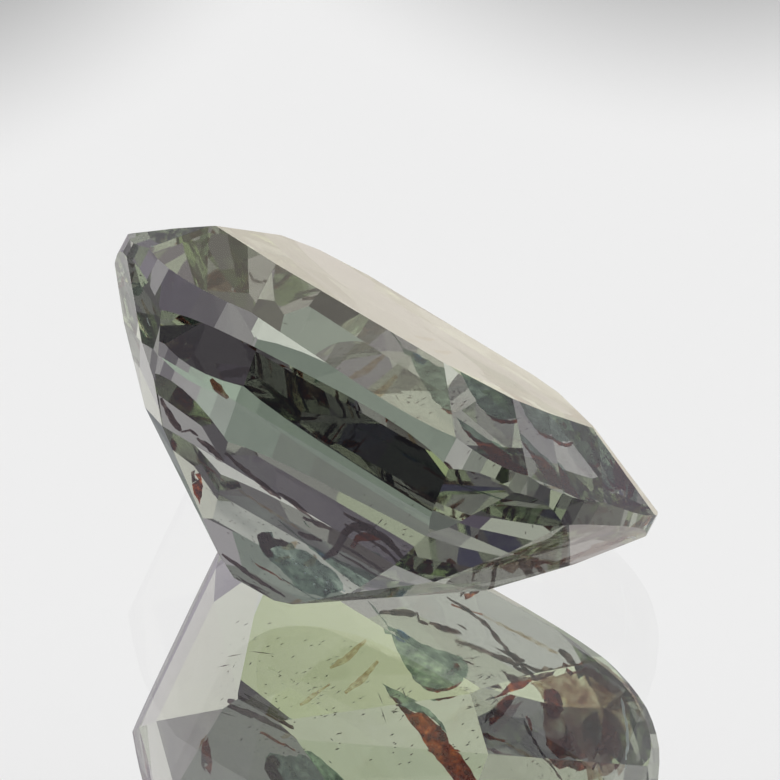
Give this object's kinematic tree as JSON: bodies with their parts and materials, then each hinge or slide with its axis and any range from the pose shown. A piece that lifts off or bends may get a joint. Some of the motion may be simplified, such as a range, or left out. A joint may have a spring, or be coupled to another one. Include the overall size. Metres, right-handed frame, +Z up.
{
  "type": "faceted alexandrite gemstone",
  "caption": "Cushion-shaped cut and polished grey-green gemstone with a flat table, a low faceted crown, a thin girdle and a deep stepped pavilion, lying tilted on one lower facet.",
  "frame": {"origin": "middle of the footprint's bounding box, on the plane that the stone rests on", "axes": "+Z up from the resting facet, +X along the stone's broad side from left to right, -Y towards the viewer"},
  "size_m": [0.0068, 0.0064, 0.0044],
  "materials": {
    "crystal": "polished"
  },
  "bodies": {
    "root": {"stone": "crystal"}
  },
  "joints": []
}
